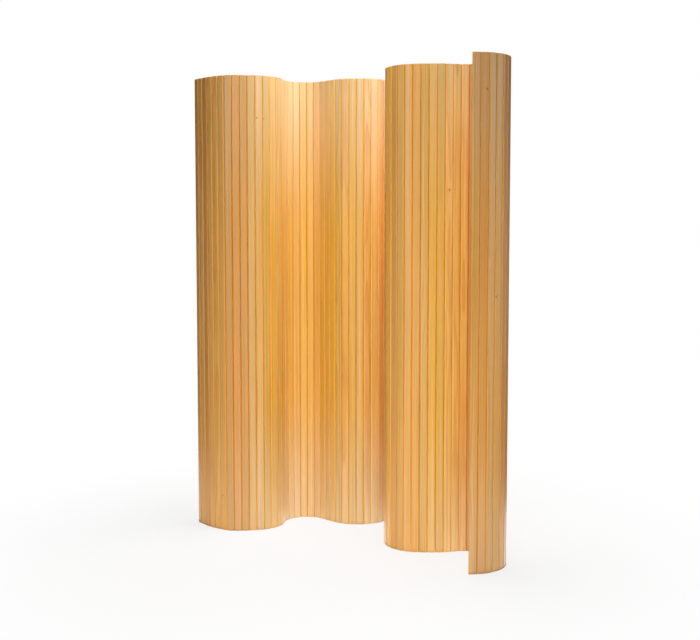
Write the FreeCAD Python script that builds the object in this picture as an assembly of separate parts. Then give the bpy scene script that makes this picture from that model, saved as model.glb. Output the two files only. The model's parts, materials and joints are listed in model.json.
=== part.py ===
"""Free-standing flexible screen: upright pine slats threaded side by side on three steel cables."""
import FreeCAD
import Part

import math
import os

Vector = FreeCAD.Vector

# Slats, in millimetres. The width runs from tip to tip of the two rounded long edges.
SLAT_HEIGHT = 1500.0
SLAT_WIDTH = 24.6
SLAT_THICKNESS = 8.0
EDGE_FLATS = 6
JOINT_GAP = 0.4

# The curve that the screen stands in, seen from above, from its left end to its right end.
# Each bend has a number of slats and the degrees that each of them turns from the slat before.
# A positive turn swings the rest of the screen counter-clockwise, away from someone in front of it.
START_HEADING = -56.0
BENDS = (
    # left lobe, standing forward
    (6, 5.0),
    (2, 14.0),
    (3, 4.5),
    (1, 16.5),
    (2, 12.0),
    (2, 17.0),
    # left valley
    (1, -12.5),
    (5, -18.0),
    (2, -12.0),
    # low crest in the middle
    (1, 1.5),
    (2, 11.0),
    (6, 12.0),
    # pocket behind the right lobe
    (2, -5.0),
    (12, -15.5),
    (2, -9.5),
    # right lobe, standing forward
    (2, 15.0),
    (8, 14.0),
    (2, 10.0),
    (2, 4.0),
    (2, 7.0),
    # hook that curls round to the right end
    (1, -8.5),
    (14, -13.0),
)

# First slat of each pair that is kept flat as one leaf. All other slats are leaves of their own.
PAIR_STARTS = (2, 5, 9, 15, 23, 28, 30, 32, 34, 36, 38, 40, 42, 44, 46, 48, 50, 52, 60, 62, 64, 67, 69, 77, 79)

# Cables: seven-wire strand, six-sided in section, in six-sided passages through the slats.
STRAND_SIDES = 6
CABLE_ACROSS = 1.6
CABLE_CLEARANCE = 0.4
CABLE_INSET = 150.0

# Cable ends: a crimped ferrule sunk in the outer edge of each end slat, closed by a wooden plug.
FERRULE_ACROSS = 3.6
FERRULE_LENGTH = 7.0
CRIMP_CLEARANCE = 0.05
PLUG_SIDES = 12
PLUG_ACROSS = 4.6
PLUG_LENGTH = 4.0
PLUG_CLEARANCE = 0.05

PITCH = SLAT_WIDTH + JOINT_GAP
SLAT_COUNT = sum(slats for slats, degrees in BENDS)
CABLE_HEIGHTS = {
    "bottom": CABLE_INSET,
    "middle": SLAT_HEIGHT / 2,
    "top": SLAT_HEIGHT - CABLE_INSET,
}
Z_AXIS = Vector(0, 0, 1)


def slat_turns():
    """Degrees that each slat turns from the one before, slat 1 first."""
    return [degrees for slats, degrees in BENDS for _ in range(slats)]


def leaves():
    """Leaves from left to right as (first slat, slats, start point, heading), on an unplaced plan.

    The turn of a pair is taken up by the hinges on either side of it.
    """
    turns = slat_turns()
    found = []
    start = Vector(0, 0, 0)
    heading = START_HEADING
    slat = 1
    while slat <= SLAT_COUNT:
        width = 2 if slat in PAIR_STARTS else 1
        if found:
            heading += turns[slat - 1] * (found[-1][1] + width) / 2
        found.append((slat, width, start, heading))
        start = start + along(heading) * (width * PITCH)
        slat += width
    return found


def along(heading):
    """Unit vector of a heading in plan."""
    return Vector(math.cos(math.radians(heading)), math.sin(math.radians(heading)), 0)


def slat_outline():
    """Section of a slat as points: x across the screen from the hinge line, y through its thickness."""
    radius = SLAT_THICKNESS / 2
    steps = [math.pi * (0.5 + step / EDGE_FLATS) for step in range(EDGE_FLATS + 1)]
    left = [Vector(JOINT_GAP / 2 + radius * (1 + math.cos(a)), radius * math.sin(a), 0) for a in steps]
    right = [Vector(PITCH - point.x, -point.y, 0) for point in left]
    return left + right


def polygon_face(points):
    """Flat face inside a closed outline."""
    return Part.Face(Part.makePolygon(points + points[:1]))


def many_sided(across, sides, x, z):
    """Regular outline square to the x axis, with flats that face the slat's two sides."""
    radius = across / 2 / math.cos(math.pi / sides)
    steps = [2 * math.pi * (step + 0.5) / sides for step in range(sides)]
    return [Vector(x, radius * math.cos(a), z + radius * math.sin(a)) for a in steps]


def bar(across, sides, x, length, z):
    """Many-sided bar along the x axis."""
    return polygon_face(many_sided(across, sides, x, z)).extrude(Vector(length, 0, 0))


def plain_slat():
    """Slat without its passages."""
    return polygon_face(slat_outline()).extrude(Z_AXIS * SLAT_HEIGHT)


def drilled_slat():
    """Slat with a passage for each cable, from edge to edge."""
    passage = CABLE_ACROSS + 2 * CABLE_CLEARANCE
    tools = [bar(passage, STRAND_SIDES, 0, PITCH, z) for z in CABLE_HEIGHTS.values()]
    return plain_slat().cut(tools)


def from_left_end(shape):
    """Shape on the left edge of a slat, as it is."""
    return shape


def from_right_end(shape):
    """The same shape on the right edge of a slat."""
    turned = shape.copy()
    turned.rotate(Vector(PITCH / 2, 0, 0), Z_AXIS, 180)
    return turned


def sinkings():
    """Sinkings for ferrules and plugs in the left edge of a slat."""
    depth = JOINT_GAP / 2 + PLUG_LENGTH + FERRULE_LENGTH
    return [bar(PLUG_ACROSS, PLUG_SIDES, 0, depth, z) for z in CABLE_HEIGHTS.values()]


def ferrules():
    """Crimped ferrules at the bottom of the sinkings in the left edge."""
    start = JOINT_GAP / 2 + PLUG_LENGTH
    inner = CABLE_ACROSS + 2 * CRIMP_CLEARANCE
    found = []
    for z in CABLE_HEIGHTS.values():
        sleeve = bar(FERRULE_ACROSS, STRAND_SIDES, start, FERRULE_LENGTH, z)
        found.append(sleeve.cut(bar(inner, STRAND_SIDES, start, FERRULE_LENGTH, z)))
    return found


def plugs():
    """Plugs over the ferrules, trimmed to the rounded edge."""
    across = PLUG_ACROSS - 2 * PLUG_CLEARANCE
    length = JOINT_GAP / 2 + PLUG_LENGTH
    body = plain_slat()
    return [bar(across, PLUG_SIDES, 0, length, z).common(body) for z in CABLE_HEIGHTS.values()]


def placed(shape, start, heading, index=0):
    """Copy of a shape, moved from the first slat of a leaf at the origin to its place in the plan."""
    moved = shape.copy()
    moved.translate(Vector(index * PITCH, 0, 0))
    moved.rotate(Vector(0, 0, 0), Z_AXIS, heading)
    moved.translate(start)
    return moved


def footprint_centre(plan):
    """Middle of the box round the slats' feet."""
    foot = polygon_face(slat_outline())
    feet = [placed(foot, start, heading, k) for _, width, start, heading in plan for k in range(width)]
    return Part.makeCompound(feet).BoundBox.Center


def centred_leaves():
    """Leaves with the origin under the middle of the footprint."""
    plan = leaves()
    centre = footprint_centre(plan)
    return [(slat, width, start - centre, heading) for slat, width, start, heading in plan]


def leaf_name(slat, width):
    """Node name of a leaf."""
    return f"slat_{slat:02d}" if width == 1 else f"slats_{slat:02d}_{slat + 1:02d}"


def cable_ring(point, before, after, z):
    """Outline of a cable where it passes a point, mitred between two headings."""
    stretch = 1 / math.cos(math.radians(after - before) / 2)
    across = along((before + after) / 2 + 90) * stretch
    outline = many_sided(CABLE_ACROSS, STRAND_SIDES, 0, z)
    return [point + across * corner.y + Z_AXIS * corner.z for corner in outline]


def cable(plan, z):
    """One cable along the middle of every leaf, mitred at the hinge lines, from ferrule to ferrule."""
    _, _, first_start, first_heading = plan[0]
    _, last_width, last_start, last_heading = plan[-1]
    end_inset = JOINT_GAP / 2 + PLUG_LENGTH
    headings = [heading for _, _, _, heading in plan]
    rings = [cable_ring(first_start + along(first_heading) * end_inset, first_heading, first_heading, z)]
    for (_, _, start, after), before in zip(plan[1:], headings):
        rings.append(cable_ring(start, before, after, z))
    last_point = last_start + along(last_heading) * (last_width * PITCH - end_inset)
    rings.append(cable_ring(last_point, last_heading, last_heading, z))
    faces = [polygon_face(rings[0]), polygon_face(rings[-1])]
    for near, far in zip(rings, rings[1:]):
        for side in range(STRAND_SIDES):
            faces.append(polygon_face([near[side - 1], near[side], far[side], far[side - 1]]))
    shell = Part.makeShell(faces)
    shell.sewShape()
    return Part.makeSolid(shell)


def build():
    """All nodes of the screen by name."""
    plan = centred_leaves()
    slat = drilled_slat()
    ends = {
        1: ("left", from_left_end),
        SLAT_COUNT: ("right", from_right_end),
    }
    nodes = {"cables": Part.makeCompound([cable(plan, z) for z in CABLE_HEIGHTS.values()])}
    for number, width, start, heading in plan:
        solids = []
        for index in range(width):
            piece = slat
            if number + index in ends:
                side, on_edge = ends[number + index]
                piece = slat.cut([on_edge(tool) for tool in sinkings()])
                for kind, pieces in (("ferrules", ferrules()), ("plugs", plugs())):
                    group = [placed(on_edge(one), start, heading, index) for one in pieces]
                    nodes[f"{kind}_{side}"] = Part.makeCompound(group)
            solids.append(placed(piece, start, heading, index))
        nodes[leaf_name(number, width)] = solids[0] if width == 1 else Part.makeCompound(solids)
    return nodes


def main():
    """Write every node to its own file."""
    os.makedirs("parts", exist_ok=True)
    for name, shape in build().items():
        shape.exportStep(f"parts/{name}.step")


main()
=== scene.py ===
"""Dresses the packed slatted screen: round-edged pine slats, steel cables, end plugs and a plain studio."""

import json
import math
import random
from collections import namedtuple

import bmesh
import bpy
from bpy.props import FloatProperty, FloatVectorProperty, IntProperty, PointerProperty
from mathutils import Matrix, Vector

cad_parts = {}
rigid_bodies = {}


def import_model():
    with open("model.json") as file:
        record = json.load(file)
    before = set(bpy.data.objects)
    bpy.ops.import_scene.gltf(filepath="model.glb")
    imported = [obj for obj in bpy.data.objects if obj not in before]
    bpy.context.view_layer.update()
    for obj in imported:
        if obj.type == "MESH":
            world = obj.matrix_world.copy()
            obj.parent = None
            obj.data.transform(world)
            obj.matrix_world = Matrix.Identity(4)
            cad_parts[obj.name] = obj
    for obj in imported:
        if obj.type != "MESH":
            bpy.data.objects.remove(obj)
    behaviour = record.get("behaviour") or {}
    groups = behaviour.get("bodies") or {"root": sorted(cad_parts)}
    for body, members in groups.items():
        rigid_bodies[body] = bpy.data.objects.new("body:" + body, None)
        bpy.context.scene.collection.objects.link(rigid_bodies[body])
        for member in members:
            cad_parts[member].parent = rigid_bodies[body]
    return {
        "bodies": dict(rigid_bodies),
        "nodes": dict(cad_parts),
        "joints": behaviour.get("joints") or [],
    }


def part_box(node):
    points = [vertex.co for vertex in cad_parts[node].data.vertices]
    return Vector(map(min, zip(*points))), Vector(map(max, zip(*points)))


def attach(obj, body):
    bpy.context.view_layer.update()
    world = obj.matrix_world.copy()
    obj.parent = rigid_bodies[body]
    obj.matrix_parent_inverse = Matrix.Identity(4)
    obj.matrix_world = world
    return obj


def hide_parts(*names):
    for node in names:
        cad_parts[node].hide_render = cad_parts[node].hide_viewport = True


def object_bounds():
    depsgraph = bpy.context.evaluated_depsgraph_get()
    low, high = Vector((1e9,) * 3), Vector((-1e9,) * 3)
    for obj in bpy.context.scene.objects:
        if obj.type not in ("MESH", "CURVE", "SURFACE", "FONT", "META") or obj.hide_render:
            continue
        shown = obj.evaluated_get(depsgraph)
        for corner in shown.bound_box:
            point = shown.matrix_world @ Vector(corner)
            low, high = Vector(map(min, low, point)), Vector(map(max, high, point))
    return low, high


bl_info = {
    "name": "Slatted screen",
    "version": (1, 0, 0),
    "blender": (4, 5, 0),
    "location": "View3D > Sidebar > Screen",
    "description": "Pine slats, cables and studio for a flexible slatted screen",
    "category": "Object",
}

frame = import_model()
CAD_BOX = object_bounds()

# A leaf is one slat, or a pair of slats that is kept flat, between two hinge lines.
Leaf = namedtuple("Leaf", "body first count start along pitch")

# Knots that show: slat, height over the floor, distance from the slat's middle, side and radius.
# Side -1 is the front. A point on a slat without a knot counts as many radii away from one.
Knot = namedtuple("Knot", "slat height across side size")
KNOTS = (
    Knot(6, 0.116, -0.0025, -1, 0.0013),
    Knot(11, 1.363, -0.0056, -1, 0.0012),
    Knot(12, 1.361, -0.0085, -1, 0.0010),
    Knot(64, 1.121, 0.0000, -1, 0.0014),
    Knot(77, 0.808, 0.0080, 1, 0.0016),
    Knot(79, 1.397, -0.0060, 1, 0.0015),
)
NO_KNOT = Vector((9.0, 9.0, 9.0))

# Runs of slats, left to right: first slat, share of tan, share of rose, level, and share of the most painted
# sheen on the tops and feet. Tan and rose are the slats' own tones; the level is their own tone with painted
# light and shade, higher in the folds that lie in shade and lower on the left lobe and the hook.
ToneAndLightRun = namedtuple("ToneAndLightRun", "first tan rose level fade")
TONE_AND_LIGHT_RUNS = (
    ToneAndLightRun(1, 0.5, 0.9, 0.91, 0.0),
    ToneAndLightRun(4, 0.7, 0.7, 1.03, 0.15),
    ToneAndLightRun(7, 0.6, 0.6, 0.94, 0.4),
    ToneAndLightRun(11, 0.6, 0.15, 1.03, 0.7),
    ToneAndLightRun(15, 0.8, 0.0, 1.08, 1.0),
    ToneAndLightRun(20, 0.3, 0.1, 1.06, 0.8),
    ToneAndLightRun(25, 0.2, 0.3, 1.05, 0.7),
    ToneAndLightRun(29, 0.7, 0.0, 1.10, 0.8),
    ToneAndLightRun(31, 1.2, 0.0, 1.20, 1.0),
    ToneAndLightRun(36, 1.0, 0.0, 1.06, 0.7),
    ToneAndLightRun(55, 0.8, 0.6, 1.05, 0.1),
    ToneAndLightRun(59, 0.5, 0.2, 1.02, 0.2),
    ToneAndLightRun(62, 0.35, 0.1, 1.07, 0.5),
    ToneAndLightRun(64, 0.5, 0.1, 1.16, 0.5),
    ToneAndLightRun(67, 0.3, 0.8, 0.91, 0.35),
    ToneAndLightRun(71, 0.3, 1.0, 0.85, 0.35),
    ToneAndLightRun(77, 0.3, 0.8, 0.88, 0.4),
)

# Spread of the draws that make each slat different.
TONE_SPREAD = 0.4
LEVEL_SPREAD = 0.08
HEART_DISTANCE = (0.035, 0.11)
GRAIN_TURN = 0.5
GRAIN_LEAN = 0.004
LOG_LENGTH = 40.0
PLUG_SHADE = 0.96

# Patterns in wood and steel: waves to the metre along each axis, detail and roughness of the noise.
Pattern = namedtuple("Pattern", "scale detail roughness")
WANDER = Pattern((14.0, 14.0, 1.6), 2.0, 0.5)
STREAKS = Pattern((190.0, 190.0, 1.4), 3.0, 0.6)
CLOUDS = Pattern((30.0, 30.0, 3.5), 2.0, 0.5)
FIBRES = Pattern((1500.0, 1500.0, 26.0), 2.0, 0.6)
GRIT = Pattern((900.0, 900.0, 900.0), 3.0, 0.5)
NOISE_RANGE = (0.3, 0.7)

# Growth rings: how far they wander along the log, how far and how near they bend round a knot,
# and how dark one ring is from its early wood to its late wood.
RING_WANDER = 0.014
RING_BEND = 0.006
KNOT_PULL = 0.55
RING_PROFILE = ((0.0, 0.25), (0.12, 0.0), (0.5, 0.12), (0.88, 0.9), (0.95, 1.0))
LATE_SHARE = 0.7

# How much each pattern changes the tone and the level of the wood.
STREAK_TONE = 0.8
STREAK_SPREAD = 0.44
CLOUD_SPREAD = 0.16
FIBRE_SPREAD = 0.14
END_SHADE = 0.55

# Bands as shares: of a long edge's rounding for the painted joint shade, and of a slat's height for the
# painted sheen on the tops and feet.
JOINT_BAND = (0.08, 0.75)
TOP_BAND = (0.62, 1.0)
FOOT_BAND = (0.0, 0.32)

# Knots: rim and halo in knot radii, share of the halo, depth in slat thicknesses, height in widths.
KNOT_RIM = (0.8, 1.25)
KNOT_HALO = (0.9, 3.2)
HALO_SHARE = 0.45
KNOT_DEPTH = 0.7
KNOT_STRETCH = 1.9

# Lacquer: roughness, what fibres, joints and sawn ends add to it, gloss, and relief.
LACQUER_ROUGHNESS = 0.36
FIBRE_ROUGHNESS = 0.14
JOINT_ROUGHNESS = -0.08
END_ROUGHNESS = 0.35
LACQUER_SPECULAR = 0.30
RING_RELIEF = 0.5
RELIEF_STRENGTH = 0.16
RELIEF_DEPTH = 0.00012

# Steel strand: colours, waves across it, waves along it in each diameter, roughness and relief.
STEEL_DARK = (0.50, 0.51, 0.52)
STEEL_BRIGHT = (0.70, 0.71, 0.72)
STRAND_WAVES = 260.0
STRAND_TWIST = 2.4
STEEL_ROUGHNESS = 0.25
GRIT_ROUGHNESS = 0.2
STRAND_STRENGTH = 0.5
STRAND_DEPTH = 0.0002

# Modelling: share of half the thickness in the rounding of a long edge, steps in the softened ends,
# lean of a normal that counts as level, and the bead's root in joint gaps and end inset in softenings.
NOSE_SHARE = 0.985
END_STEPS = 2
LEVEL_NORMAL = 0.9
BEAD_ROOT = 2
BEAD_INSET = 2

# Round pieces: length of a drill in pitches, sides of each, and the rounding of a cable's ends in diameters.
DRILL_LENGTH = 1.2
PASSAGE_SIDES = 12
PLUG_SIDES = 24
CABLE_SIDES = 8
CABLE_ROUNDING = 0.48
CABLE_STEPS = 2
SHARP_ANGLE = math.radians(50)

# Studio: radii between which the floor fades to white, how white it is near the screen, and the lens.
FLOOR_FADE = (0.4, 1.5)
FLOOR_WHITE = 0.8
FLOOR_SIDES = 96
CARD_BLACK = (0.01, 0.01, 0.01, 1.0)
SENSOR_WIDTH = 36.0
VIEW_DISTANCE = 100.0

# Lamps, gloss panels and dark cards: name, where each stands, what it points at, and its size.
Fixture = namedtuple("Fixture", "name place target size")
LAMPS = (
    Fixture("front", (0.0, -2.2, 0.3), (0.0, 0.0, 0.5), 1.2),
    Fixture("back", (0.0, 2.2, 0.3), (0.0, 0.0, 0.5), 1.2),
    Fixture("left", (-2.4, 1.0, 0.8), (0.0, 0.0, 0.7), 1.2),
    Fixture("right", (2.4, 1.0, 0.8), (0.0, 0.0, 0.7), 1.2),
    Fixture("top", (0.08, -0.2, 2.2), (0.03, 0.0, 0.7), 0.5),
    Fixture("overhead", (0.25, 0.05, 3.1), (0.0, 0.0, 0.7), 1.0),
    Fixture("eye_level", (0.02, -3.2, 1.0), (0.0, 0.0, 0.7), 0.5),
)
GLOSS_PANELS = (
    Fixture("side_sheen", (2.6, -1.2, 1.2), (0.0, 0.0, 0.9), (0.7, 2.4)),
    Fixture("front_sheen", (-1.9, -2.2, 1.3), (-0.2, 0.0, 0.9), (0.4, 2.4)),
    Fixture("floor_sheen", (0.0, -0.2, 0.004), (0.0, -0.2, 1.0), (2.4, 2.4)),
)
DARK_CARDS = (
    Fixture("left_card", (-1.3, 1.1, 1.1), (0.0, 0.0, 1.1), (2.2, 2.2)),
    Fixture("right_card", (0.8, 0.35, 1.1), (0.15, -0.35, 1.1), (1.6, 2.2)),
)


class SlatSizes(bpy.types.PropertyGroup):
    """Sizes of the slats that the packed solids leave open."""

    joint_gap: FloatProperty(
        name="Joint gap",
        description="Open space between the round edges of two neighbouring slats",
        default=0.0004,
        unit="LENGTH",
    )
    edge_steps: IntProperty(
        name="Edge steps",
        description="Steps in each quarter round of the long edges",
        default=8,
        min=2,
    )
    end_softening: FloatProperty(
        name="End softening",
        description="Sanded arris round the top and the foot of a slat",
        default=0.0007,
        unit="LENGTH",
    )
    bead_width: FloatProperty(
        name="Bead width",
        description="Width of the thin bead on the right edge, which closes the joint to light",
        default=0.00016,
        unit="LENGTH",
    )
    bead_reach: FloatProperty(
        name="Bead reach",
        description="How far the bead stands past the hinge line, clear of the neighbour at every angle",
        default=0.00015,
        unit="LENGTH",
    )
    passage: FloatProperty(
        name="Cable passage",
        description="Bore from edge to edge for a cable",
        default=0.0024,
        unit="LENGTH",
    )
    sinking: FloatProperty(
        name="End sinking",
        description="Bore for a plug in the outer edge of the two end slats",
        default=0.0046,
        unit="LENGTH",
    )
    sinking_depth: FloatProperty(
        name="Sinking depth",
        description="Depth of the end sinking from the hinge line",
        default=0.0112,
        unit="LENGTH",
    )


class CableSizes(bpy.types.PropertyGroup):
    """Sizes of the cables and of what closes their ends."""

    across: FloatProperty(
        name="Cable diameter",
        description="Diameter of the steel strand",
        default=0.0016,
        unit="LENGTH",
    )
    inset: FloatProperty(
        name="Cable inset",
        description="Height of the lowest cable over the floor, and of the top cable under the top",
        default=0.150,
        unit="LENGTH",
    )
    plug_across: FloatProperty(
        name="Plug diameter",
        description="Diameter of the wooden plugs over the cable ends",
        default=0.0045,
        unit="LENGTH",
    )
    plug_length: FloatProperty(
        name="Plug length",
        description="Length of the wooden plugs",
        default=0.0041,
        unit="LENGTH",
    )


class PineFinish(bpy.types.PropertyGroup):
    """Colours and grain of the lacquered pine."""

    honey: FloatVectorProperty(
        name="Honey",
        description="Colour of the warmest slats",
        subtype="COLOR",
        size=3,
        default=(0.80, 0.455, 0.045),
    )
    tan: FloatVectorProperty(
        name="Tan",
        description="Colour of the palest slats",
        subtype="COLOR",
        size=3,
        default=(0.80, 0.495, 0.155),
    )
    rose: FloatVectorProperty(
        name="Rose",
        description="Colour of the pinkish slats",
        subtype="COLOR",
        size=3,
        default=(0.78, 0.36, 0.060),
    )
    latewood: FloatVectorProperty(
        name="Latewood",
        description="Tint of the dark part of each growth ring",
        subtype="COLOR",
        size=3,
        default=(0.86, 0.70, 0.52),
    )
    # Painted shade in the joints: a tint over the rounded long edges, a little redder and much less blue
    # than the faces.
    joint_tint: FloatVectorProperty(
        name="Painted joint shade",
        description="Tint of the rounded long edges, painted shade that colours the joint lines",
        subtype="COLOR",
        size=3,
        default=(1.05, 0.94, 0.42),
    )
    # Painted sheen: a pale colour mixed into the tops and feet of the slats, and how strong it is at the top
    # and at the foot.
    faded: FloatVectorProperty(
        name="Painted sheen",
        description="Pale colour of the sheen painted on the tops and feet",
        subtype="COLOR",
        size=3,
        default=(0.78, 0.70, 0.57),
    )
    top_fade: FloatProperty(
        name="Top painted sheen",
        description="How strong the sheen painted on the tops is",
        default=0.50,
    )
    foot_fade: FloatProperty(
        name="Foot painted sheen",
        description="How strong the sheen painted on the feet is",
        default=0.52,
    )
    knot: FloatVectorProperty(
        name="Knot",
        description="Colour of the knots",
        subtype="COLOR",
        size=3,
        default=(0.20, 0.075, 0.022),
    )
    ring_width: FloatProperty(
        name="Ring width",
        description="Distance between two growth rings",
        default=0.0026,
        unit="LENGTH",
    )
    seed: IntProperty(
        name="Seed",
        description="Start of the draws that make each slat different",
        default=11,
    )


class StageSettings(bpy.types.PropertyGroup):
    """Floor, light and camera."""

    floor: FloatVectorProperty(
        name="Floor",
        description="Colour of the floor",
        subtype="COLOR",
        size=3,
        default=(0.90, 0.90, 0.90),
    )
    floor_radius: FloatProperty(
        name="Floor radius",
        description="Radius of the round floor",
        default=14.0,
        unit="LENGTH",
    )
    ambient: FloatProperty(
        name="Ambient light",
        description="Strength of the light from all round",
        default=0.03,
    )
    front: FloatProperty(
        name="Front light",
        description="Power of the low lamp in front",
        default=19.0,
        unit="POWER",
    )
    back: FloatProperty(
        name="Back light",
        description="Power of the low lamp behind",
        default=23.0,
        unit="POWER",
    )
    left: FloatProperty(
        name="Left light",
        description="Power of the lamp at the left, a little behind the screen",
        default=3.0,
        unit="POWER",
    )
    right: FloatProperty(
        name="Right light",
        description="Power of the lamp at the right, a little behind the screen",
        default=10.0,
        unit="POWER",
    )
    top: FloatProperty(
        name="Top light",
        description="Power of the small lamp just over the screen",
        default=4.5,
        unit="POWER",
    )
    overhead: FloatProperty(
        name="Overhead light",
        description="Power of the large lamp high over the folds",
        default=60.0,
        unit="POWER",
    )
    eye_level: FloatProperty(
        name="Eye-level light",
        description="Power of the small lamp beside the camera",
        default=18.0,
        unit="POWER",
    )
    side_sheen: FloatProperty(
        name="Side sheen",
        description="Power of the upright lamp at the right, which shows only as gloss",
        default=48.0,
        unit="POWER",
    )
    front_sheen: FloatProperty(
        name="Front sheen",
        description="Power of the upright lamp at the front left, which shows only as gloss",
        default=50.0,
        unit="POWER",
    )
    floor_sheen: FloatProperty(
        name="Floor sheen",
        description="Power of the bright floor as it shows in the gloss of the slats",
        default=44.0,
        unit="POWER",
    )
    camera_place: FloatVectorProperty(
        name="Camera place",
        description="Where the camera stands",
        subtype="TRANSLATION",
        size=3,
        default=(0.0245, -3.2293, 0.9991),
    )
    focal_length: FloatProperty(
        name="Focal length",
        description="Focal length of the lens in millimetres",
        default=52.79,
    )
    rise: FloatProperty(
        name="Lens shift",
        description="Vertical shift of the lens as a share of the image width",
        default=-0.030,
    )
    tilt: FloatProperty(
        name="Tilt",
        description="How far the camera looks down",
        default=math.radians(3.837),
        subtype="ANGLE",
    )


def first_slat(body):
    """Number of the first slat in a leaf's name."""
    return int(body.split("_")[1])


def flat_point(place):
    """Place on the floor under a point."""
    return Vector((place[0], place[1], 0.0))


def box_middle(node):
    """Place on the floor under the middle of a packed node."""
    low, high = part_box(node)
    return flat_point((low + high) / 2)


def find_leaves():
    """Leaves of the packed frame from left to right, between its hinge lines."""
    bodies = sorted(frame["bodies"], key=first_slat)
    joints = sorted(frame["joints"], key=lambda joint: joint["name"])
    hinges = [flat_point(joint["pos_m"]) for joint in joints]
    left_end = 2 * box_middle(bodies[0]) - hinges[0]
    right_end = 2 * box_middle(bodies[-1]) - hinges[-1]
    points = [left_end] + hinges + [right_end]
    leaves = []
    for body, start, end in zip(bodies, points, points[1:]):
        count = body.count("_")
        reach = end - start
        leaves.append(Leaf(body, first_slat(body), count, start, reach.normalized(), reach.length / count))
    return leaves


LEAVES = find_leaves()
SLAT_COUNT = sum(leaf.count for leaf in LEAVES)
PITCH = LEAVES[0].pitch
HEIGHT = CAD_BOX[1].z - CAD_BOX[0].z


def slat_thickness():
    """Thickness of a slat, from the packed points of the first leaf, which is one slat."""
    leaf = LEAVES[0]
    node = frame["nodes"][leaf.body]
    square = Vector((-leaf.along.y, leaf.along.x, 0.0))
    depths = [vertex.co.dot(square) for vertex in node.data.vertices]
    return max(depths) - min(depths)


THICKNESS = slat_thickness()


def leaf_place(leaf, index):
    """Matrix from a slat at the origin, upright and facing the front, to its place in a leaf."""
    middle = leaf.start + leaf.along * (leaf.pitch * (index + 0.5))
    heading = math.atan2(leaf.along.y, leaf.along.x)
    return Matrix.Translation(middle) @ Matrix.Rotation(heading, 4, "Z")


def cable_heights(cables):
    """Heights of the three cables."""
    return (cables.inset, HEIGHT / 2, HEIGHT - cables.inset)


def new_object(name, mesh):
    """Object with a mesh, linked to the scene."""
    piece = bpy.data.objects.new(name, mesh)
    bpy.context.scene.collection.objects.link(piece)
    return piece


def mesh_of(bm, name):
    """Mesh from a bmesh, which is freed."""
    mesh = bpy.data.meshes.new(name)
    bm.to_mesh(mesh)
    bm.free()
    return mesh


def rims(bm, faces):
    """Edges round some faces of a bmesh."""
    return [edge for edge in bm.edges if not faces.isdisjoint(edge.link_faces)]


def rounded(bm, edges, offset, steps):
    """Rounds edges of a bmesh."""
    bmesh.ops.bevel(
        bm,
        geom=edges,
        offset=offset,
        segments=steps,
        profile=0.5,
        affect="EDGES",
        material=-1,
    )


def rod(bm, across, length, matrix, sides):
    """Adds a round bar along the x axis of a matrix, centred on it, and returns its two end faces."""
    turned = matrix @ Matrix.Rotation(math.pi / 2, 4, "Y")
    made = bmesh.ops.create_cone(
        bm,
        cap_ends=True,
        segments=sides,
        radius1=across / 2,
        radius2=across / 2,
        depth=length,
        matrix=turned,
    )
    return {face for vert in made["verts"] for face in vert.link_faces if len(face.verts) == sides}


def plain_slat(sizes):
    """Slat at the origin: standing on the floor, round long edges, softened top and foot."""
    bm = bmesh.new()
    bmesh.ops.create_cube(bm, size=1.0)
    bmesh.ops.scale(bm, vec=(PITCH - sizes.joint_gap, THICKNESS, HEIGHT), verts=bm.verts)
    bmesh.ops.translate(bm, vec=(0, 0, HEIGHT / 2), verts=bm.verts)
    upright = [edge for edge in bm.edges if abs(edge.verts[0].co.z - edge.verts[1].co.z) > HEIGHT / 2]
    rounded(bm, upright, THICKNESS / 2 * NOSE_SHARE, sizes.edge_steps)
    ends = {face for face in bm.faces if abs(face.normal.z) > LEVEL_NORMAL}
    rounded(bm, rims(bm, ends), sizes.end_softening, END_STEPS)
    return mesh_of(bm, "plain_slat")


def bead(sizes):
    """Thin bead along the right edge of a slat, from inside the edge to just past the hinge line."""
    inner = PITCH / 2 - BEAD_ROOT * sizes.joint_gap
    outer = PITCH / 2 + sizes.bead_reach
    height = HEIGHT - 2 * BEAD_INSET * sizes.end_softening
    bm = bmesh.new()
    bmesh.ops.create_cube(bm, size=1.0)
    bmesh.ops.scale(bm, vec=(outer - inner, sizes.bead_width, height), verts=bm.verts)
    bmesh.ops.translate(bm, vec=((inner + outer) / 2, 0, HEIGHT / 2), verts=bm.verts)
    return mesh_of(bm, "bead")


def drills(sizes, cables, side):
    """Bars that cut the cable passages, and the sinkings in one outer edge where side is not 0."""
    bm = bmesh.new()
    for height in cable_heights(cables):
        place = Matrix.Translation((0, 0, height))
        rod(bm, sizes.passage, PITCH * DRILL_LENGTH, place, PASSAGE_SIDES)
    passages = mesh_of(bm, "passages")
    if not side:
        return [passages]
    bm = bmesh.new()
    for height in cable_heights(cables):
        place = Matrix.Translation((side * PITCH / 2, 0, height))
        rod(bm, sizes.sinking, 2 * sizes.sinking_depth, place, PLUG_SIDES)
    return [passages, mesh_of(bm, "sinkings")]


def combined(mesh, tools, operation):
    """Mesh after one boolean with each tool mesh."""
    blank = new_object("blank", mesh)
    helpers = []
    for tool in tools:
        helper = new_object("tool", tool)
        helpers.append(helper)
        cut = blank.modifiers.new("cut", "BOOLEAN")
        cut.operation = operation
        cut.solver = "EXACT"
        cut.object = helper
    bpy.context.view_layer.update()
    evaluated = blank.evaluated_get(bpy.context.evaluated_depsgraph_get())
    made = bpy.data.meshes.new_from_object(evaluated)
    for helper in helpers + [blank]:
        bpy.data.objects.remove(helper)
    if not made.polygons:
        raise RuntimeError("the boolean left nothing of " + mesh.name)
    return made


def slat_blank(sizes, cables, side):
    """Drilled slat at the origin: side is -1 for the left end of the screen, 1 for the right end, or 0."""
    slat = plain_slat(sizes)
    if side < 1:
        slat = combined(slat, [bead(sizes)], "UNION")
    return combined(slat, drills(sizes, cables, side), "DIFFERENCE")


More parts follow.
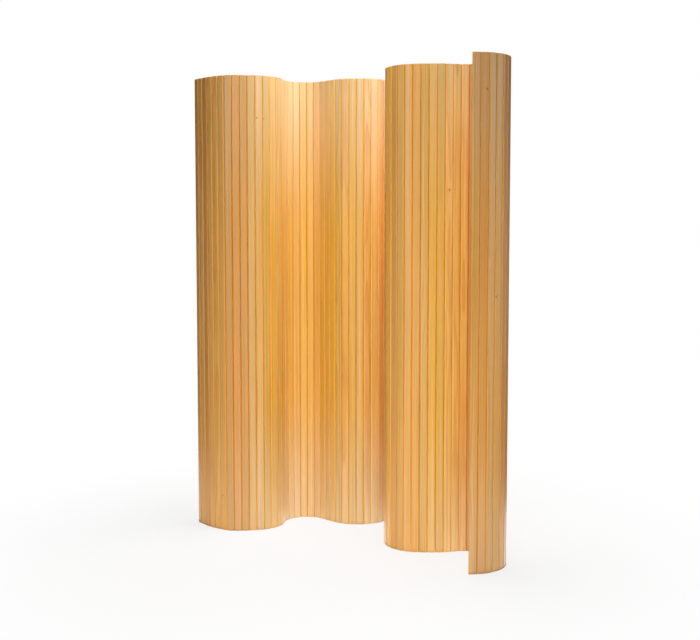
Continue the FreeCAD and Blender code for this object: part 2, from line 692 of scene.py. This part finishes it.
class Wiring:
    """Adds nodes to a node tree and links them."""

    def __init__(self, tree):
        self.tree = tree
        tree.nodes.clear()

    def node(self, kind, **inputs):
        """New node, with inputs given by socket name as a value or as a socket."""
        made = self.tree.nodes.new(kind)
        for name, value in inputs.items():
            self.feed(made.inputs[name.replace("_", " ")], value)
        return made

    def feed(self, socket, value):
        """Links a socket to an input, or sets the input to a value."""
        if isinstance(value, bpy.types.NodeSocket):
            self.tree.links.new(value, socket)
        else:
            socket.default_value = value

    def attribute(self, name):
        """Vector of a named attribute of the mesh."""
        made = self.node("ShaderNodeAttribute")
        made.attribute_name = name
        return made.outputs["Vector"]

    def level(self, name):
        """Number of a named attribute of the mesh."""
        made = self.node("ShaderNodeAttribute")
        made.attribute_name = name
        return made.outputs["Fac"]

    def math(self, operation, first, second=0.0, third=0.0):
        """Result of a sum on one, two or three numbers."""
        made = self.tree.nodes.new("ShaderNodeMath")
        made.operation = operation
        for socket, value in zip(made.inputs, (first, second, third)):
            self.feed(socket, value)
        return made.outputs[0]

    def stretched(self, vector, scale):
        """Vector with each axis scaled."""
        made = self.tree.nodes.new("ShaderNodeVectorMath")
        made.operation = "MULTIPLY"
        self.feed(made.inputs[0], vector)
        made.inputs[1].default_value = scale
        return made.outputs[0]

    def length(self, vector):
        """Length of a vector."""
        made = self.tree.nodes.new("ShaderNodeVectorMath")
        made.operation = "LENGTH"
        self.feed(made.inputs[0], vector)
        return made.outputs["Value"]

    def noise(self, vector, pattern):
        """Smooth noise of about 0 to 1."""
        place = self.stretched(vector, pattern.scale)
        made = self.node(
            "ShaderNodeTexNoise",
            Vector=place,
            Scale=1.0,
            Detail=pattern.detail,
            Roughness=pattern.roughness,
        )
        return made.outputs["Fac"]

    def ranged(self, value, from_low, from_high, to_low, to_high, kind="LINEAR"):
        """Value mapped from one range to another, and kept in it."""
        made = self.tree.nodes.new("ShaderNodeMapRange")
        made.interpolation_type = kind
        for socket, given in zip(made.inputs, (value, from_low, from_high, to_low, to_high)):
            self.feed(socket, given)
        return made.outputs[0]

    def mixed(self, factor, first, second, blend="MIX"):
        """Mix of two colours."""
        made = self.tree.nodes.new("ShaderNodeMix")
        made.data_type = "RGBA"
        made.blend_type = blend
        self.feed(made.inputs[0], factor)
        for socket, value in zip((made.inputs[6], made.inputs[7]), (first, second)):
            self.feed(socket, value if isinstance(value, bpy.types.NodeSocket) else (*value, 1.0))
        return made.outputs[2]

    def tinted(self, colour, tint):
        """Colour times a tint."""
        return self.mixed(1.0, colour, tuple(tint), "MULTIPLY")

    def varied(self, value, spread):
        """Level that goes from a little under 1 to a little over 1 as a value goes from 0 to 1."""
        return self.math("MULTIPLY_ADD", value, spread, 1.0 - spread / 2)

    def seen(self):
        """1 for what the camera, gloss and glass see, and 0 for what lights the pieces."""
        rays = self.node("ShaderNodeLightPath").outputs
        seen = self.math("MAXIMUM", rays["Is Camera Ray"], rays["Is Glossy Ray"])
        return self.math("MAXIMUM", seen, rays["Is Transmission Ray"])

    def profile(self, value, stops):
        """Value bent by a curve of (position, level) stops."""
        made = self.node("ShaderNodeValToRGB", Fac=value)
        ramp = made.color_ramp
        while len(ramp.elements) < len(stops):
            ramp.elements.new(0.5)
        for element, (position, level) in zip(ramp.elements, stops):
            element.position = position
            element.color = (level, level, level, 1.0)
        return made.outputs["Color"]

    def split(self, vector):
        """The three numbers of a vector."""
        made = self.node("ShaderNodeSeparateXYZ", Vector=vector)
        return made.outputs


def new_material(name):
    """Empty node material and its wiring."""
    material = bpy.data.materials.new(name)
    material.use_nodes = True
    return material, Wiring(material.node_tree)


def painted_sheen_share(wiring, finish):
    """Share of painted sheen at a point: most at the top and the foot of a slat."""
    share, height, _ = wiring.split(wiring.attribute("fade"))
    top = wiring.ranged(height, *TOP_BAND, 0.0, finish.top_fade, "SMOOTHSTEP")
    foot = wiring.ranged(height, *FOOT_BAND, finish.foot_fade, 0.0, "SMOOTHSTEP")
    return wiring.math("MULTIPLY", share, wiring.math("ADD", top, foot))


def growth_rings(wiring, finish, log, from_knot):
    """Darkness of the growth rings round the heart of the log, which wander and bend round a knot."""
    wander = wiring.noise(log, WANDER)
    from_heart = wiring.length(wiring.stretched(log, (1.0, 1.0, 0.0)))
    near_knot = wiring.math("EXPONENT", wiring.math("MULTIPLY", from_knot, -KNOT_PULL))
    bent = wiring.math("MULTIPLY_ADD", wander, RING_WANDER, from_heart)
    bent = wiring.math("MULTIPLY_ADD", near_knot, RING_BEND, bent)
    ring = wiring.math("FRACT", wiring.math("DIVIDE", bent, finish.ring_width))
    return wiring.profile(ring, RING_PROFILE)


def early_wood_with_sheen(wiring, finish, tan, rose, streak):
    """Colour of the early wood, with its streaks and the pale sheen painted on its top and foot."""
    tone = wiring.math("ADD", tan, wiring.ranged(streak, *NOISE_RANGE, -STREAK_TONE, STREAK_TONE))
    early = wiring.mixed(tone, tuple(finish.honey), tuple(finish.tan))
    early = wiring.mixed(rose, early, tuple(finish.rose))
    return wiring.mixed(painted_sheen_share(wiring, finish), early, tuple(finish.faded))


def knotted(wiring, finish, wood, from_knot):
    """Wood with its knot and the darker halo round it."""
    heart = wiring.ranged(from_knot, *KNOT_RIM, 1.0, 0.0, "SMOOTHSTEP")
    halo = wiring.ranged(from_knot, *KNOT_HALO, HALO_SHARE, 0.0, "SMOOTHSTEP")
    wood = wiring.mixed(halo, wood, wiring.tinted(wood, finish.latewood))
    return wiring.mixed(heart, wood, tuple(finish.knot))


def pine_material(finish):
    """Clear-lacquered pine that runs through the whole slat, cut from a log by the grain attribute."""
    material, wiring = new_material("Lacquered pine")
    log = wiring.attribute("grain")
    from_knot = wiring.length(wiring.attribute("knot"))
    tan, rose, shade = wiring.split(wiring.attribute("board"))
    cut_end = wiring.level("cut_end")
    joint = wiring.ranged(wiring.level("edge"), *JOINT_BAND, 0.0, 1.0, "SMOOTHSTEP")
    late = growth_rings(wiring, finish, log, from_knot)
    streak = wiring.noise(log, STREAKS)
    cloud = wiring.noise(log, CLOUDS)
    fibre = wiring.noise(log, FIBRES)

    # Early wood colour, with a pale sheen painted on the tops and feet.
    early = early_wood_with_sheen(wiring, finish, tan, rose, streak)
    dark = wiring.tinted(early, finish.latewood)
    wood = wiring.mixed(wiring.math("MULTIPLY", late, LATE_SHARE), early, dark)
    level = wiring.varied(streak, STREAK_SPREAD)
    level = wiring.math("MULTIPLY", level, wiring.varied(cloud, CLOUD_SPREAD))
    level = wiring.math("MULTIPLY", level, wiring.varied(fibre, FIBRE_SPREAD))
    level = wiring.math("MULTIPLY", level, wiring.math("MULTIPLY_ADD", cut_end, -END_SHADE, 1.0))
    # The slat's level: its own tone, with the painted light and shade of its run.
    level = wiring.math("MULTIPLY", level, shade)
    wood = wiring.node("ShaderNodeHueSaturation", Value=level, Color=wood).outputs["Color"]
    # Painted shade in the joints: the rounded long edges take a redder, less blue tint.
    wood = wiring.mixed(joint, wood, wiring.tinted(wood, finish.joint_tint))
    wood = knotted(wiring, finish, wood, from_knot)

    rough = wiring.math("MULTIPLY_ADD", fibre, FIBRE_ROUGHNESS, LACQUER_ROUGHNESS)
    rough = wiring.math("MULTIPLY_ADD", joint, JOINT_ROUGHNESS, rough)
    rough = wiring.math("MULTIPLY_ADD", cut_end, END_ROUGHNESS, rough)
    relief = wiring.math("MULTIPLY_ADD", late, RING_RELIEF, fibre)
    bump = wiring.node("ShaderNodeBump", Strength=RELIEF_STRENGTH, Distance=RELIEF_DEPTH, Height=relief)
    shader = wiring.node(
        "ShaderNodeBsdfPrincipled",
        Base_Color=wood,
        Roughness=rough,
        Normal=bump.outputs["Normal"],
        Specular_IOR_Level=LACQUER_SPECULAR,
    )
    wiring.node("ShaderNodeOutputMaterial", Surface=shader.outputs[0])
    return material


def steel_material(across):
    """Bare stranded steel: wires twisted round the cable."""
    material, wiring = new_material("Stranded steel")
    place = wiring.node("ShaderNodeTexCoord").outputs["Object"]
    grit = wiring.noise(place, GRIT)
    twist = wiring.noise(place, Pattern((STRAND_WAVES, STRAND_WAVES, STRAND_TWIST / across), 1.0, 0.5))
    bump = wiring.node("ShaderNodeBump", Strength=STRAND_STRENGTH, Distance=STRAND_DEPTH, Height=twist)
    shader = wiring.node(
        "ShaderNodeBsdfPrincipled",
        Base_Color=wiring.mixed(grit, STEEL_DARK, STEEL_BRIGHT),
        Metallic=1.0,
        Roughness=wiring.math("MULTIPLY_ADD", grit, GRIT_ROUGHNESS, STEEL_ROUGHNESS),
        Normal=bump.outputs["Normal"],
    )
    wiring.node("ShaderNodeOutputMaterial", Surface=shader.outputs[0])
    return material


def floor_material(colour):
    """Pale floor that keeps the shadow near the screen and fades into the white round it."""
    material, wiring = new_material("Pale floor")
    place = wiring.node("ShaderNodeTexCoord").outputs["Object"]
    white = wiring.ranged(wiring.length(place), *FLOOR_FADE, FLOOR_WHITE, 1.0, "SMOOTHSTEP")
    matte = wiring.node("ShaderNodeBsdfDiffuse", Color=(*colour, 1.0))
    glow = wiring.node("ShaderNodeEmission", Strength=1.0)
    mix = wiring.node("ShaderNodeMixShader", Fac=wiring.math("MULTIPLY", wiring.seen(), white))
    wiring.feed(mix.inputs[1], matte.outputs[0])
    wiring.feed(mix.inputs[2], glow.outputs[0])
    wiring.node("ShaderNodeOutputMaterial", Surface=mix.outputs[0])
    return material


def card_material():
    """Matte black of the dark cards."""
    material, wiring = new_material("Dark card")
    matte = wiring.node("ShaderNodeBsdfDiffuse", Color=CARD_BLACK)
    wiring.node("ShaderNodeOutputMaterial", Surface=matte.outputs[0])
    return material


def grain_cut(draw):
    """Where in the log a slat is cut: matrix from the slat's own axes to the log's."""
    from_heart = draw.uniform(*HEART_DISTANCE)
    turn = draw.choice((0.0, math.pi / 2)) + draw.uniform(-GRAIN_TURN, GRAIN_TURN)
    lean = draw.uniform(-GRAIN_LEAN, GRAIN_LEAN)
    up = draw.uniform(0.0, LOG_LENGTH)
    shear = Matrix.Identity(4)
    shear[0][2] = lean
    return Matrix.Translation((from_heart, 0, up)) @ Matrix.Rotation(turn, 4, "Z") @ shear


def run_of(number):
    """Run of slats that a slat belongs to, with its tones, painted light and painted sheen."""
    return [run for run in TONE_AND_LIGHT_RUNS if run.first <= number][-1]


def slat_tone_and_light(draw, number):
    """How a slat's colour differs from the next: share of tan, share of rose, and a level that holds its own
    tone and the painted light and shade of its run.
    """
    run = run_of(number)
    tan = run.tan + draw.uniform(-TONE_SPREAD, TONE_SPREAD)
    rose = run.rose + draw.uniform(-TONE_SPREAD, TONE_SPREAD)
    level = run.level * draw.uniform(1.0 - LEVEL_SPREAD, 1.0 + LEVEL_SPREAD)
    return Vector((tan, min(max(rose, 0.0), 1.0), level))


def write_grain(bm, cut, tone, fade, knot):
    """Stores grain, tone with painted light, painted sheen and knot on each point of a slat at the origin,
    and marks its sawn ends.

    The edge attribute goes from 0 on the flat faces to 1 at the tips of the rounded long edges.
    """
    grain_layer = bm.verts.layers.float_vector.new("grain")
    tone_and_light_layer = bm.verts.layers.float_vector.new("board")
    knot_layer = bm.verts.layers.float_vector.new("knot")
    end_layer = bm.faces.layers.float.new("cut_end")
    edge_layer = bm.verts.layers.float.new("edge")
    painted_sheen_layer = bm.verts.layers.float_vector.new("fade")
    for vert in bm.verts:
        vert[edge_layer] = max(0.0, 1.0 - (PITCH / 2 - abs(vert.co.x)) / (THICKNESS / 2))
        vert[grain_layer] = cut @ vert.co
        vert[tone_and_light_layer] = tone
        vert[painted_sheen_layer] = (fade, vert.co.z / HEIGHT, 0.0)
        vert[knot_layer] = knot_offset(vert.co, knot)
    for face in bm.faces:
        face[end_layer] = 1.0 if abs(face.normal.z) > LEVEL_NORMAL else 0.0


def knot_offset(place, knot):
    """Place seen from the heart of the slat's knot, in knot radii, or far away where it has none."""
    if knot is None:
        return NO_KNOT
    across = (place.x - knot.across) / knot.size
    deep = (place.y - knot.side * THICKNESS / 2) / (THICKNESS * KNOT_DEPTH)
    up = (place.z - knot.height) / (knot.size * KNOT_STRETCH)
    return Vector((across, deep, up))


def finish_piece(piece, material, body):
    """Shading, material and body of a piece."""
    mesh = piece.data
    mesh.materials.clear()
    mesh.materials.append(material)
    mesh.shade_smooth()
    mesh.set_sharp_from_angle(angle=SHARP_ANGLE)
    normals = piece.modifiers.new("Flat faces first", "WEIGHTED_NORMAL")
    normals.keep_sharp = True
    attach(piece, body)


class SlatsOperator(bpy.types.Operator):
    """Make the slats, each from its own cut of the log"""

    bl_idname = "slatted_screen.slats"
    bl_label = "Slats"

    def execute(self, context):
        sizes = context.scene.slat_sizes
        cables = context.scene.cable_sizes
        finish = context.scene.pine_finish
        material = pine_material(finish)
        draw = random.Random(finish.seed)
        blanks = {}
        for side in (-1, 0, 1):
            blanks[side] = slat_blank(sizes, cables, side)
        knots = {knot.slat: knot for knot in KNOTS}
        sides = {1: -1, SLAT_COUNT: 1}
        for leaf in LEAVES:
            for index in range(leaf.count):
                number = leaf.first + index
                bm = bmesh.new()
                bm.from_mesh(blanks[sides.get(number, 0)])
                cut = grain_cut(draw)
                # The slat's tone holds the painted light of its run; the run also sets the painted sheen on
                # the tops and feet.
                tone = slat_tone_and_light(draw, number)
                write_grain(bm, cut, tone, run_of(number).fade, knots.get(number))
                bmesh.ops.transform(bm, matrix=leaf_place(leaf, index), verts=bm.verts)
                name = f"pine_slat_{number:02d}"
                piece = new_object(name, mesh_of(bm, name))
                finish_piece(piece, material, leaf.body)
                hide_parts(leaf.body)
        return {"FINISHED"}


class CablesOperator(bpy.types.Operator):
    """Make the stretch of the three cables that lies in each leaf"""

    bl_idname = "slatted_screen.cables"
    bl_label = "Cables"

    def execute(self, context):
        cables = context.scene.cable_sizes
        material = steel_material(cables.across)
        plugged = {LEAVES[0].body: (1, 0), LEAVES[-1].body: (0, 1)}
        for leaf in LEAVES:
            bm = bmesh.new()
            inset = [side * cables.plug_length for side in plugged.get(leaf.body, (0, 0))]
            length = leaf.pitch * leaf.count - sum(inset) + cables.across
            middle = leaf.pitch * (leaf.count - 1) / 2 + (inset[0] - inset[1]) / 2
            place = leaf_place(leaf, 0) @ Matrix.Translation((middle, 0, 0))
            for height in cable_heights(cables):
                raised = place @ Matrix.Translation((0, 0, height))
                ends = rod(bm, cables.across, length, raised, CABLE_SIDES)
                rounded(bm, rims(bm, ends), cables.across * CABLE_ROUNDING, CABLE_STEPS)
            name = f"cables_{leaf.first:02d}"
            piece = new_object(name, mesh_of(bm, name))
            finish_piece(piece, material, leaf.body)
            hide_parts("cables")
        for side in ("left", "right"):
            sleeves = frame["nodes"]["ferrules_" + side]
            sleeves.data.materials.clear()
            sleeves.data.materials.append(material)
        return {"FINISHED"}


class PlugsOperator(bpy.types.Operator):
    """Make the wooden plugs that close the cable ends"""

    bl_idname = "slatted_screen.plugs"
    bl_label = "Plugs"

    def execute(self, context):
        sizes = context.scene.slat_sizes
        cables = context.scene.cable_sizes
        material = bpy.data.materials["Lacquered pine"]
        draw = random.Random(context.scene.pine_finish.seed + 1)
        ends = (("left", -1, LEAVES[0], 0), ("right", 1, LEAVES[-1], LEAVES[-1].count - 1))
        for name, side, leaf, index in ends:
            number = leaf.first + index
            bm = bmesh.new()
            for height in cable_heights(cables):
                place = Matrix.Translation((side * (PITCH / 2), 0, height))
                rod(bm, cables.plug_across, 2 * cables.plug_length, place, PLUG_SIDES)
            trimmed = combined(mesh_of(bm, "plug_bars"), [plain_slat(sizes)], "INTERSECT")
            bm = bmesh.new()
            bm.from_mesh(trimmed)
            cut = grain_cut(draw) @ Matrix.Rotation(math.pi / 2, 4, "Y")
            # The plugs take the tone with painted light, and the painted sheen, of their end slat's run.
            tone = slat_tone_and_light(draw, number) * PLUG_SHADE
            write_grain(bm, cut, tone, run_of(number).fade, None)
            bmesh.ops.transform(bm, matrix=leaf_place(leaf, index), verts=bm.verts)
            piece = new_object("pine_plugs_" + name, mesh_of(bm, "pine_plugs_" + name))
            finish_piece(piece, material, leaf.body)
            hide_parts("plugs_" + name)
        return {"FINISHED"}


def facing(fixture):
    """Turn that points a fixture at its target."""
    return (Vector(fixture.target) - Vector(fixture.place)).to_track_quat("-Z", "Y")


def area_lamp(fixture, power):
    """Soft round lamp."""
    light = bpy.data.lights.new(fixture.name, "AREA")
    light.shape = "DISK"
    light.size = fixture.size
    light.energy = power
    lamp = bpy.data.objects.new(fixture.name, light)
    lamp.visible_camera = False
    lamp.location = fixture.place
    lamp.rotation_euler = facing(fixture).to_euler()
    bpy.context.scene.collection.objects.link(lamp)
    return lamp


def gloss_panel(fixture, power):
    """Bright panel that shows only in the gloss of the pieces."""
    width, height = fixture.size
    lamp = area_lamp(fixture._replace(size=width), power)
    lamp.data.shape = "RECTANGLE"
    lamp.data.size_y = height
    lamp.visible_diffuse = False


def dark_card(fixture, material):
    """Upright card that shows only in gloss, and keeps the outer edges of the screen deep in colour."""
    width, height = fixture.size
    shape = Matrix.Diagonal((width, height, 1.0, 1.0))
    place = Matrix.Translation(fixture.place) @ facing(fixture).to_matrix().to_4x4() @ shape
    bm = bmesh.new()
    bmesh.ops.create_grid(bm, x_segments=1, y_segments=1, size=0.5)
    bmesh.ops.transform(bm, matrix=place, verts=bm.verts)
    card = new_object(fixture.name, mesh_of(bm, fixture.name))
    card.data.materials.append(material)
    card.visible_camera = False
    card.visible_diffuse = False
    card.visible_shadow = False


def round_floor(stage):
    """Round floor under the screen."""
    bm = bmesh.new()
    bmesh.ops.create_circle(bm, cap_ends=True, segments=FLOOR_SIDES, radius=stage.floor_radius)
    floor = new_object("floor", mesh_of(bm, "floor"))
    floor.data.materials.append(floor_material(tuple(stage.floor)))


def white_world(strength):
    """White background, which lights the screen from all round at its own strength."""
    world = bpy.data.worlds.new("Studio")
    world.use_nodes = True
    wiring = Wiring(world.node_tree)
    level = wiring.ranged(wiring.seen(), 0.0, 1.0, strength, 1.0)
    background = wiring.node("ShaderNodeBackground", Color=(1.0, 1.0, 1.0, 1.0), Strength=level)
    wiring.node("ShaderNodeOutputWorld", Surface=background.outputs[0])
    bpy.context.scene.world = world


def aimed_camera(stage):
    """Camera at the photo's angle."""
    lens = bpy.data.cameras.new("camera")
    lens.lens = stage.focal_length
    lens.sensor_fit = "HORIZONTAL"
    lens.sensor_width = SENSOR_WIDTH
    lens.shift_y = stage.rise
    lens.clip_end = VIEW_DISTANCE
    camera = bpy.data.objects.new("camera", lens)
    camera.location = stage.camera_place
    camera.rotation_euler = (math.pi / 2 - stage.tilt, 0.0, 0.0)
    bpy.context.scene.collection.objects.link(camera)
    return camera


class StageOperator(bpy.types.Operator):
    """Make the floor, the light and the camera"""

    bl_idname = "slatted_screen.stage"
    bl_label = "Stage"

    def execute(self, context):
        stage = context.scene.stage_settings
        round_floor(stage)
        white_world(stage.ambient)
        for fixture in LAMPS:
            area_lamp(fixture, getattr(stage, fixture.name))
        for fixture in GLOSS_PANELS:
            gloss_panel(fixture, getattr(stage, fixture.name))
        black = card_material()
        for fixture in DARK_CARDS:
            dark_card(fixture, black)
        context.scene.camera = aimed_camera(stage)
        context.scene.view_settings.view_transform = "Standard"
        return {"FINISHED"}


class ScreenPanel(bpy.types.Panel):
    """Sizes, finishes and pieces of the screen"""

    bl_idname = "VIEW3D_PT_slatted_screen"
    bl_label = "Slatted screen"
    bl_space_type = "VIEW_3D"
    bl_region_type = "UI"
    bl_category = "Screen"

    def draw(self, context):
        layout = self.layout
        for operator in OPERATORS:
            layout.operator(operator.bl_idname)
        for name, group in GROUPS.items():
            box = layout.box()
            box.label(text=group.__doc__)
            for field in group.__annotations__:
                box.prop(getattr(context.scene, name), field)


GROUPS = {
    "slat_sizes": SlatSizes,
    "cable_sizes": CableSizes,
    "pine_finish": PineFinish,
    "stage_settings": StageSettings,
}
OPERATORS = (SlatsOperator, CablesOperator, PlugsOperator, StageOperator)


def register():
    """Register the property groups, operators and panel."""
    for name, group in GROUPS.items():
        bpy.utils.register_class(group)
        setattr(bpy.types.Scene, name, PointerProperty(type=group))
    for operator in OPERATORS:
        bpy.utils.register_class(operator)
    bpy.utils.register_class(ScreenPanel)


def unregister():
    """Remove what register added."""
    bpy.utils.unregister_class(ScreenPanel)
    for operator in reversed(OPERATORS):
        bpy.utils.unregister_class(operator)
    for name, group in GROUPS.items():
        delattr(bpy.types.Scene, name)
        bpy.utils.unregister_class(group)


def main():
    """Register the add-on, and make all pieces and the stage."""
    register()
    bpy.ops.slatted_screen.slats()
    bpy.ops.slatted_screen.cables()
    bpy.ops.slatted_screen.plugs()
    bpy.ops.slatted_screen.stage()


if __name__ == "__main__":
    main()
